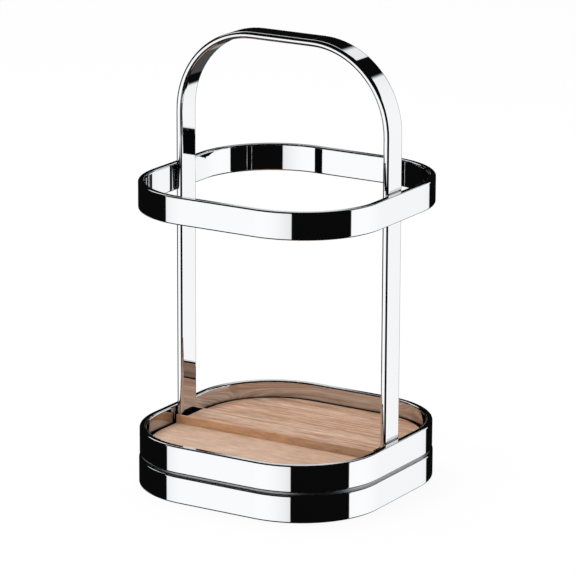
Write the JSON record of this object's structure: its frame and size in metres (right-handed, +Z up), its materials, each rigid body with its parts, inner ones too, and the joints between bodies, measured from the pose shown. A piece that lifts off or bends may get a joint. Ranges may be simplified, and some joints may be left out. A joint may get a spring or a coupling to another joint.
{
  "type": "silverware caddy",
  "caption": "Free-standing tabletop caddy that holds silverware upright: flat-bar carrying handle, retaining ring and a rimmed base with a wooden floor parted by a low divider.",
  "frame": {"origin": "centre of the footprint, on the surface that the feet stand on", "axes": "+Z up, +X towards the handle's right upright as seen from the front, -Y the front, which is the side that the picture looks at"},
  "size_m": [0.1508, 0.1508, 0.2612],
  "materials": {
    "chrome": "mirror chrome plate",
    "plate_steel": "dull sheet",
    "floor_wood": "sanded and oiled",
    "foot_rubber": "matte",
    "screw_steel": "zinc plated"
  },
  "bodies": {
    "root": {"handle_strap": "chrome", "upper_ring": "chrome", "upper_base_band": "chrome", "lower_base_band": "chrome", "base_plate": "plate_steel", "ring_spacer_left": "chrome", "ring_spacer_right": "chrome", "base_spacer_left": "chrome", "base_spacer_right": "chrome", "front_floor_board": "floor_wood", "rear_floor_board": "floor_wood", "floor_divider": "floor_wood", "rubber_foot_front_left": "foot_rubber", "rubber_foot_front_right": "foot_rubber", "rubber_foot_rear_left": "foot_rubber", "rubber_foot_rear_right": "foot_rubber", "wood_screws": "screw_steel"}
  },
  "joints": []
}
